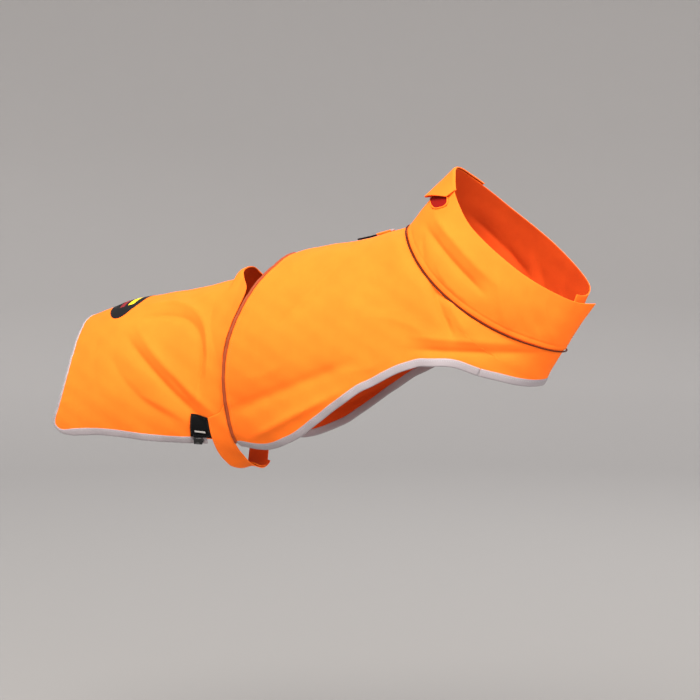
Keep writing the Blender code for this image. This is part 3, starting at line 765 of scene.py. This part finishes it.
# %% Collar tables and its cloth
Rim = namedtuple("Rim", "angle drop flare")
RIM = (
    Rim(-192, -6, 17), Rim(-180, -3, 12), Rim(-165, 5, 5), Rim(-140, 14, 1), Rim(-110, 23, 0), Rim(-75, 27, 0),
    Rim(-45, 16, 0), Rim(-20, 2, 0), Rim(0, 0, 0), Rim(30, 2, 0), Rim(60, 1, 0), Rim(110, -8, 0), Rim(150, -11, 0),
    Rim(180, -4, -2), Rim(200, 0, -4),
)
RIM_TOP, RIM_LOW, RIM_HALF_WIDTH = np.array((112.0, 0.0, 100.0)), np.array((304.0, 0.0, -84.0)), 84.0
COLLAR_BELLY, COLLAR_HEIGHT = 9.0, 110.0
COLLAR_ENDS = (-184, 196)
COLLAR_FLAT = (100.0, 800.0)
TOP_STITCH = 0.105              # height of the top-stitching above the seam, as a share of the collar's height


def collar_shape(height, angle, out=0.0):
    """Middle of the collar's cloth without creases: height 0 at the seam and 1 at the rim."""
    seam = ring_point(np.full(len(angle), float(SEAM)), angle)
    drop, flare = table_values(RIM, angle)
    rim = round_ring(RIM_TOP[0], RIM_TOP[2], RIM_LOW[0], RIM_LOW[2], RIM_HALF_WIDTH, 0.5, 0.0, angle)
    line = unit(RIM_LOW - RIM_TOP)
    neck_way = np.array((-line[2], 0.0, line[0]))
    turn = np.radians(angle)
    way = -np.cos(turn)[:, None] * line + np.stack((0 * turn, np.sin(turn), 0 * turn), -1)
    swell = COLLAR_BELLY * np.sin(math.pi * height) * np.sin(turn) ** 2
    stand = (swell + flare * np.maximum(height, 0.0) ** 1.5 + out)[:, None]
    return seam + (rim - neck_way * drop[:, None] - seam) * height[:, None] + way * stand


def collar_cloth(height, angle, out=0.0):
    """The collar's cloth with its creases. The right end lies one layer out over the left end."""
    lap = STEP_OUT * (1 - ease(-160, -140, angle))
    base = collar_shape(height, angle, lap)
    groove = -0.8 * np.exp(-((height - TOP_STITCH) / 0.014) ** 2)
    puckers = ripple((height - TOP_STITCH) * COLLAR_HEIGHT, angle * NECK_DEGREE_STEP)
    depth = (crease_depth(base, COLLAR_CREASES) + 0.6 * wander(base)) * ease(0, 0.2, height)
    return base + outward(collar_shape, height, angle) * (depth + groove + puckers + out)[:, None]


def collar_surface(u, v):
    start, (first, last) = 0.024, COLLAR_ENDS       # the start is just clear of the panel at the seam
    return collar_cloth(start + (1 - start) * u, first + (last - first) * v)


collar = cloth_piece("collar_cloth", "collar", (56, 230), collar_surface, COLLAR_FLAT, 0.6)

# %% Piping in the collar seam
count = 240
angles = -180 + 360 * np.arange(count + 1) / count
panel_way = outward(ring_point, np.full(count + 1, SEAM - 0.05), angles)
collar_way = outward(collar_shape, np.full(count + 1, 0.03), angles)
way = unit(panel_way + collar_way)
reach = (CLOTH / 2 + SEAM_GAP + PIPING_RADIUS) / (way * panel_way).sum(1)
reach = reach + STEP_OUT * (1 - ease(-160, -140, angles)) + STEP_OUT * ease(162, 172, angles)
points = ring_point(np.full(count + 1, float(SEAM)), angles) + way * reach[:, None]
ways = unit(np.cross(np.gradient(points, axis=0), way))
points[-1], ways[-1], way[-1] = points[0], ways[0], way[0]
collar_piping = swept("collar_piping_cord", points, ways, way, cord_profile(PIPING_RADIUS), dark_piping, closed=True)
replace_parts(collar_piping, "collar_piping")
print("collar piping is", round(steps_along(points).sum()), "mm long")

# %% [markdown]
# ## The nape flap
# The top of the collar is turned down at the nape, as a tongue that is longest over the spine and stands off towards
# its free edge. Under each end of that edge the collar opens into a small mouth with a rolled lip. Its dark inside is
# painted shade: a dark red patch laid on the collar stands for the shadowed hollow, because a real hole would need the
# collar's cloth to be cut.

# %% Nape flap
FLAP_HALF_ANGLE, FLAP_LENGTH, FLAP_TAPER, FLAP_STAND_OFF = 41.0, 0.62, 48.0, 7.5
FLAP_FLAT = (62.0, 130.0)


def flap_cloth(down, angle, out=0.0):
    """Cloth of the flap: down 0 over the rim and 1 at the free edge."""
    share = angle / FLAP_HALF_ANGLE
    length = FLAP_LENGTH * (1 - (np.abs(angle) / FLAP_TAPER) ** 1.8)
    height = 1.03 - length * np.maximum(down - 0.06, 0.0) - 0.012 * np.minimum(down, 0.06) / 0.06
    stand_off = 2.6 * ease(0, 0.1, down) + FLAP_STAND_OFF * np.maximum(down, 0.0) ** 1.3 * (1 - 0.6 * share * share)
    way = outward(collar_shape, np.minimum(height, 0.98), angle)
    return collar_shape(height, angle) + way * (stand_off + out)[:, None]


def flap_surface(u, v):
    return flap_cloth(1 - u, (2 * v - 1) * FLAP_HALF_ANGLE)


nape_flap = cloth_piece("nape_flap_cloth", "nape_flap", (40, 70), flap_surface, FLAP_FLAT, 0.6)

# %% Mouths under the flap's free edge
MOUTH_CORNERS = np.array((((0.50, 8.0), (0.56, 36.0)), ((0.89, 39.0), (0.83, 47.0))))     # height and angle
MOUTH_FLAT, LIP_RADIUS = (26.0, 16.0), 1.2


def mouth_cloth(x, y, side, out):
    """The collar's cloth inside a mouth. x and y run from -1 to 1 over a rounded rectangle."""
    x, y = x * (1 - 0.1 * y * y), y * (1 - 0.1 * x * x)
    across, down = (x[:, None] + 1) / 2, (y[:, None] + 1) / 2
    near, far = MOUTH_CORNERS
    pair = (near[0] * (1 - down) + near[1] * down) * (1 - across) + (far[0] * (1 - down) + far[1] * down) * across
    return collar_cloth(pair[:, 0], side * pair[:, 1], out)


for name, side in SIDES:
    def mouth_surface(u, v):
        return mouth_cloth(2 * u - 1, (2 * v - 1) * side, side, CLOTH / 2 + 0.3)
    # the dark red patch is painted shade, standing for the hollow under the flap
    mouth = laid_grid("mouth_lining_" + name, (20, 16), mouth_surface, MOUTH_FLAT, hollow_painted_shade)
    turn = np.linspace(0, 2 * math.pi, 73)
    rim = [np.sign(wave) * np.abs(wave) ** 0.5 for wave in (np.cos(turn), np.sin(turn))]
    points = mouth_cloth(*rim, side, CLOTH / 2 + 0.7)
    ways = unit(points - points[:-1].mean(axis=0))
    normals = unit(np.cross(np.gradient(points, axis=0), ways))
    normals[-1], ways[-1] = normals[0], ways[0]
    lip = swept("mouth_lip_" + name, points, ways, normals, cord_profile(LIP_RADIUS), orange_shell, closed=True)
    print("mouth lip", name, "has", len(points), "stations")

# %% [markdown]
# ## Belly straps
# Two straps of the same cloth start on the rear panel's lower front corners and lap under the belly, the right one
# outside. They are cut straight and sewn along both edges, so they are modelled directly as narrow grids.

# %% Belly straps
STRAP_WIDTH, STRAP_BEHIND, STRAP_TOP, STRAP_FORWARD = 34.0, 4.2, 116.0, 0.20
STRAP_END = 180.0 + (180.0 - STRAP_TOP) * 3 / 13        # past the middle of the belly by the lap
STRAP_FLAT = (34.0, 165.0)


def strap_cloth(behind, angle, out=0.0, side=RIGHT):
    """Cloth of a strap: behind in millimetres from its front edge, angle as a size without its side."""
    edge = FRONT_EDGE + STRAP_FORWARD * ease(138, 180, angle)
    place = place_behind(edge, side * angle, STRAP_BEHIND + behind)
    lap = (STEP_OUT + SEAM_GAP) * ease(152, 161, angle) if side == RIGHT else 0.0 * angle
    return panel_cloth(place, side * angle, STEP_OUT + lap + out)


for name, side in SIDES:
    def strap_surface(u, v):
        share = v if side == LEFT else 1 - v
        return strap_cloth(STRAP_WIDTH * (1 - u), STRAP_TOP + (STRAP_END - STRAP_TOP) * share, side=side)
    cloth_piece("belly_strap_cloth_" + name, "belly_strap_" + name, (14, 70), strap_surface, STRAP_FLAT)

# %% [markdown]
# ## Hem tabs and cord locks
# A folded black webbing tab is sewn over the hem behind each strap, with a thin woven bar across it. The bar is a real
# part, but its light grey is a painted highlight: the glint that the bar's edge catches. Below it sits a small black
# plastic cord lock. It stays as it is shown: its button would slide along the cord's way.

# %% Hem tabs and their bars
TAB_LENGTH, TAB_BOTTOM, TAB_TOP = 33.0, 1.6, 15.6       # along the hem, and degrees above it
TAB_TAPER = 0.010           # share of its length that it loses for each degree above the hem
TAB_OUT = STEP_OUT + 0.4
BAR_LENGTH, BAR_BOTTOM, BAR_TOP = 18.0, 5.0, 6.1
LOCK_BEHIND, BARREL = 4.5, (13.0, 11.0, 6.0)            # the barrel's size: along, down, out
BUTTON_START, RIB_THICK, RIB_RADII = 7.2, 0.45, (2.2, 2.5)
TAB_FRONT = STRAP_BEHIND + STRAP_WIDTH + SEAM_GAP


def above_hem(behind, above, out=0.0, side=RIGHT):
    """Rear panel's cloth at distances behind the front panel's edge and degrees above the hem there."""
    start = np.full(len(above), float(FRONT_EDGE))
    angle = side * (rear_hem_angle(place_behind(start, np.full(len(above), side * 125.0), behind)) - above)
    behind = TAB_FRONT + (behind - TAB_FRONT) * (1 - TAB_TAPER * above)
    return rear_cloth(place_behind(start, angle, behind), angle, out)


def patch(name, side, behind, above, out, wall, material, cells):
    """A flat piece on the rear panel's cloth, above the hem."""
    def surface(u, v):
        share = v if side == RIGHT else 1 - v
        return above_hem(behind[1] + (behind[0] - behind[1]) * u, above[0] + (above[1] - above[0]) * share, out, side)
    size = (behind[1] - behind[0], (above[1] - above[0]) * DEGREE_STEP * 1.3)
    piece = laid_grid(name, cells, surface, size, material)
    return thicken(piece, wall, 0.25)


# %% Cord locks, then both sides' tabs, bars and locks
def cord_lock(name, side):
    """A rounded barrel with a recessed cord hole and a ribbed push button."""
    middle = TAB_FRONT + TAB_LENGTH / 2 + LOCK_BEHIND
    spots = np.array(((-4.0, 4.0, 0.0, 0.0), (0.0, 0.0, 0.0, 4.0)))     # behind the middle, above the hem
    front, rear, edge, above = above_hem(middle + spots[0], spots[1], side=side)
    along = unit(front - rear) * side
    out = unit(np.cross(along, edge - above))
    down = np.cross(out, along)
    centre = edge + out * (TAB_OUT + CLOTH / 2 + SEAM_GAP + BARREL[2] / 2)
    bm = bmesh.new()
    barrel = bmesh.ops.create_cube(bm, size=1.0, matrix=Matrix.Diagonal((*BARREL, 1.0)))["verts"]
    faces = sorted({f for v in barrel for f in v.link_faces}, key=lambda f: f.calc_center_median().z)
    bmesh.ops.inset_individual(bm, faces=[faces[-1]], thickness=2.4, depth=0.0)
    bmesh.ops.inset_individual(bm, faces=[faces[-1]], thickness=0.5, depth=-1.2)
    bmesh.ops.bevel(bm, geom=bm.edges[:], offset=0.8, segments=3, profile=0.5, affect="EDGES", material=-1,
                    clamp_overlap=True)
    for step in (-1, 0, 1, 2):
        at = side * (BUTTON_START + RIB_THICK * step)
        place, radius = Matrix.Translation((at, 0, 0)) @ Matrix.Rotation(math.pi / 2, 4, "Y"), RIB_RADII[step % 2]
        bmesh.ops.create_cone(bm, cap_ends=True, segments=24, radius1=radius, radius2=radius, depth=RIB_THICK,
                              matrix=place)
    moved(bm, centre, (along, down, out))
    return finished("cord_lock_barrel_" + name, bm, black_plastic)


for name, side in SIDES:
    tab = patch("hem_tab_webbing_" + name, side, (TAB_FRONT, TAB_FRONT + TAB_LENGTH), (TAB_BOTTOM, TAB_TOP), TAB_OUT,
                CLOTH, black_webbing, (12, 16))
    # the bar's light grey is a painted highlight
    bar_start = TAB_FRONT + (TAB_LENGTH - BAR_LENGTH) / 2
    bar = patch("tab_bar_ribbon_" + name, side, (bar_start, bar_start + BAR_LENGTH),
                (BAR_BOTTOM, BAR_TOP), TAB_OUT + CLOTH / 2 + SEAM_GAP + 0.3, 0.6, painted_highlight_bar, (12, 3))
    lock = cord_lock(name, side)
    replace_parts(tab, "hem_tab_" + name)
    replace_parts(bar, "tab_bar_" + name)
    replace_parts(lock, "cord_lock_" + name)
print("tabs:", TAB_LENGTH, "mm along the hem")

# %% [markdown]
# ## The leash opening
# A slit on the spine lets the leash through. Two black lips close over it, and a small orange loop with a grey tip
# lies in front of it.

# %% Welt, loop and tip
WELT_RINGS, WELT_HALF, WELT_SHARE = (6.95, 7.91), 3.2, 0.66     # the loop covers the front third
WELT_FLAT, SHOULDER_STEP = (47.0, 7.0), 47      # millimetres, and millimetres to a ring there


def welt_surface(u, v):
    place = WELT_RINGS[0] + (WELT_RINGS[1] - WELT_RINGS[0]) * WELT_SHARE * u
    half_width = ring_sizes(place)[HALF_WIDTH]
    width = WELT_HALF * np.sqrt(np.maximum(0.15, 1 - (2 * u - 1) ** 4))
    share = 2 * v - 1
    lips = 0.95 * np.abs(np.sin(math.pi * share)) ** 0.8 - 0.6 * np.exp(-(share / 0.12) ** 2)
    return front_cloth(place, np.degrees(np.arcsin(share * width / half_width)), STEP_OUT + lips)


welt = laid_grid("leash_welt_lips", (40, 24), welt_surface, WELT_FLAT, black_webbing)
thicken(welt, 1.2, 0.3)
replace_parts(welt, "leash_welt")

LOOP_SIZE, TIP_SIZE, LOOP_FRONT = (22.0, 11.0, 3.0), (5.0, 8.0, 3.0), 7.0     # along, across, up
spine = ring_point(np.array((WELT_RINGS[1] + 0.08, WELT_RINGS[1] + 0.5, WELT_RINGS[1])), np.zeros(3))
along, across = unit(spine[1] - spine[2]), np.array((0.0, 1.0, 0.0))
out = np.cross(along, across)
loop_centre = spine[0] + along * (LOOP_FRONT - LOOP_SIZE[0] / 2) + out * (CLOTH / 2 + SEAM_GAP + 0.3 + LOOP_SIZE[2] / 2)
tip_centre = loop_centre + along * (LOOP_SIZE[0] / 2 + SEAM_GAP + TIP_SIZE[0] / 2)
for name, node, size, centre, material in (("leash_loop", "leash_tab", LOOP_SIZE, loop_centre, orange_shell),
                                           ("leash_loop_tip", "leash_tab_tip", TIP_SIZE, tip_centre, grey_tape)):
    bm = bmesh.new()
    bmesh.ops.create_cube(bm, size=1.0, matrix=Matrix.Diagonal((*size, 1.0)), calc_uvs=False)
    bmesh.ops.bevel(bm, geom=bm.edges[:], offset=1.1, segments=3, profile=0.5, affect="EDGES", material=-1)
    moved(bm, centre, (along, across, out))
    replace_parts(finished(name, bm, material), node)
print("leash opening is", round((WELT_RINGS[1] - WELT_RINGS[0]) * SHOULDER_STEP), "mm long")

# %% [markdown]
# ## The round print on the rump
# A plain round print lies on the rump: black, with one yellow and one dark red bar. A print on a rain coat is so
# thin that it follows the cloth, so it is a disc of the cloth's own points, lifted by a quarter of a millimetre.

# %% Round print
PRINT_PLACE, PRINT_HALF_LONG, PRINT_HALF_WIDE = 0.87, 29.0, 60.0
PRINT_BARS, PRINT_BLACK = 0.62, "#070607"       # share of the half width that the bars reach to


def print_surface(u, v):
    """A square grid drawn into a disc, then laid on the cloth."""
    x, y = 2 * u - 1, 2 * v - 1
    disc_x, disc_y = x * np.sqrt(1 - y * y / 2), y * np.sqrt(1 - x * x / 2)
    place = PRINT_PLACE + disc_x * PRINT_HALF_LONG / RING_STEP
    half_width = ring_sizes(place)[HALF_WIDTH]
    return rear_cloth(place, np.degrees(np.arcsin(disc_y * PRINT_HALF_WIDE / half_width)), CLOTH / 2 + 0.25)


def print_material():
    """Rubbery screen print. Its bars are bands of the UV map, which is in metres."""
    material, shader, place = new_material("black_screen_print", {"Roughness": 0.6, "Specular IOR Level": 0.2})
    split = add(material, "SeparateXYZ", (), {"Vector": place.outputs["UV"]})
    ramp = add(material, "MapRange", {"From Max": 2 * PRINT_HALF_LONG * MM}, {"Value": split.outputs["X"]})
    bars = colour_ramp(material, ramp.outputs["Result"], (
        (0.0, PRINT_BLACK), (0.34, "#7a1820"), (0.50, PRINT_BLACK), (0.60, "#ffd21e"), (0.76, PRINT_BLACK)),
        "CONSTANT")
    half_wide = PRINT_HALF_WIDE * MM
    across = add(material, "Math", {"operation": "SUBTRACT", 1: half_wide}, {0: split.outputs["Y"]})
    off_middle = add(material, "Math", {"operation": "ABSOLUTE"}, {0: across.outputs[0]})
    bar_end = PRINT_BARS * half_wide
    near = add(material, "MapRange", {"From Min": bar_end + 0.6 * MM, "From Max": bar_end},
               {"Value": off_middle.outputs[0]})
    shown = add(material, "Mix", {"data_type": "RGBA", 6: linear(PRINT_BLACK)},
                {0: near.outputs["Result"], 7: bars})
    join(material, shown.outputs[2], shader.inputs["Base Color"])
    bump(material, shader, noise(material, place, 0.0012), 0.2, 0.04 * MM)
    return material


rump_print = laid_grid("rump_round_print", (28, 28), print_surface, (2 * PRINT_HALF_LONG, 2 * PRINT_HALF_WIDE),
                       print_material())
thicken(rump_print, 0.3, 0.05)
print("print:", 2 * PRINT_HALF_LONG, "x", 2 * PRINT_HALF_WIDE, "mm")

# %% [markdown]
# ## Stitching
# Last come the threads: orange ones in the cloth, grey ones in the tapes and black ones round the tabs. Stitches
# are 2.5 mm long and 3.4 mm apart, as on a rain coat that mustn't leak.

# %% Orange, grey and black threads
STITCH_PITCH, TAB_PITCH = 3.4, 2.6
ON_TOP = CLOTH / 2 - 0.05
ON_TAPE = BINDING_THICK / 2 - 0.1

along_strap = np.linspace(STRAP_TOP + 1, STRAP_END - 1, 60)
rows = [even_line(partial(strap_cloth, side=side), behind, along_strap, STITCH_PITCH, ON_TOP)
        for side in (RIGHT, LEFT) for behind in (3.0, STRAP_WIDTH - 3.0)]
angles = np.linspace(COLLAR_ENDS[0] + 1, 158, 200)
rows.append(even_line(collar_cloth, TOP_STITCH, angles, STITCH_PITCH, ON_TOP))
heights = np.linspace(0.05, 0.97, 60)
rows.append(even_line(collar_cloth, heights, COLLAR_ENDS[0] + 5.0, STITCH_PITCH, ON_TOP))
angles = np.linspace(-edge_limit[0] + 1, edge_limit[0] - 1, 200)
rows.append(even_line(front_cloth, trimmed(FRONT_EDGE + 0.09, angles), angles, STITCH_PITCH, ON_TOP))
orange_stitches = stitches("orange_stitches", rows, orange_thread)

points, normals, pairs = rear_edge_line(STITCH_PITCH)
rows = [(points + edge_way(points, normals, -1) * tape_share(pairs) * 1.2 + normals * ON_TAPE, normals)]
for side in (RIGHT, LEFT):
    points, normals, _ = front_hem_line(0.0, 0.999, side, STITCH_PITCH)
    rows.append((points + edge_way(points, normals, -side) * 1.2 + normals * ON_TAPE, normals))
grey_stitches = stitches("grey_stitches", rows, grey_thread)

low, high = TAB_BOTTOM + 1.2, TAB_TOP - 1.2
near, far = TAB_FRONT + 2.0, TAB_FRONT + TAB_LENGTH - 2.0
box = ((near, low), (far, low), (far, high), (near, high), (near, low))
rows = [even_line(partial(above_hem, side=side), *np.linspace(*ends, 20).T, TAB_PITCH, TAB_OUT + ON_TOP)
        for side in (RIGHT, LEFT) for ends in zip(box, box[1:])]
black_stitches = stitches("black_stitches", rows, black_thread, length=1.9)

# %% [markdown]

# %% [markdown]
# ## Floor and light
# The stage is a wide, pale round floor whose rim sweeps up into a backdrop, so no horizon shows from any side. One
# broad soft light hangs above and in front of the coat, weaker ones fill from both sides and from behind, and the
# open top lets a little sky in.

# %% Stage and lights
FLOOR = -0.95               # metres, far enough below the coat for its shadow to stay soft
bm = bmesh.new()
path = ((0.0, 0.0), (4.2, 0.0), (5.0, 0.12), (5.7, 0.5), (6.1, 1.2), (6.3, 2.2), (6.3, 4.5))    # radius and height
verts = [bm.verts.new((radius, 0.0, FLOOR + height)) for radius, height in path]
edges = [bm.edges.new(pair) for pair in zip(verts, verts[1:])]
bmesh.ops.spin(bm, geom=verts + edges, cent=(0, 0, 0), axis=(0, 0, 1), angle=2 * math.pi, steps=96, use_merge=True)
bmesh.ops.remove_doubles(bm, verts=bm.verts, dist=0.0001)
bmesh.ops.recalc_face_normals(bm, faces=bm.faces)
paper, shader, place = new_material("pale_grey_studio_paper", {"Roughness": 0.9, "Specular IOR Level": 0.2})
far = add(paper, "VectorMath", {"operation": "LENGTH"}, {0: place.outputs["Object"]})
rise = add(paper, "MapRange", {"From Min": 1.3, "From Max": 6.5}, {"Value": far.outputs["Value"]})
tone = colour_ramp(paper, rise.outputs["Result"], ((0.0, "#8e8b89"), (0.75, "#bfbbb9"), (1.0, "#b2aeac")))
join(paper, tone, shader.inputs["Base Color"])
stage = mesh_object("stage", bm, paper)


def soft_light(name, place, size, power, colour="#ffffff"):
    data = bpy.data.lights.new(name, "AREA")
    data.shape, data.size, data.energy = "DISK", size, power
    data.color = linear(colour)[:3]
    lamp = new_object(name, data)
    lamp.location = place
    lamp.rotation_euler = (Vector((-0.1, 0, -0.15)) - Vector(place)).to_track_quat("-Z", "Y").to_euler()


soft_light("key_light", (0.2, -1.9, 2.5), 2.0, 205.0, "#fffaf2")
soft_light("left_fill_light", (-2.6, -1.7, 0.9), 2.0, 36.0)
soft_light("right_fill_light", (2.7, -1.6, 0.3), 2.0, 62.0)
soft_light("back_light", (0.4, 2.4, 2.4), 2.2, 60.0)
world = bpy.data.worlds.new("studio")
world.use_nodes = True
sky = world.node_tree.nodes["Background"].inputs
sky["Color"].default_value, sky["Strength"].default_value = linear("#dfe3e8"), 0.9
bpy.context.scene.world = world
bpy.context.scene.view_settings.view_transform = "Standard"
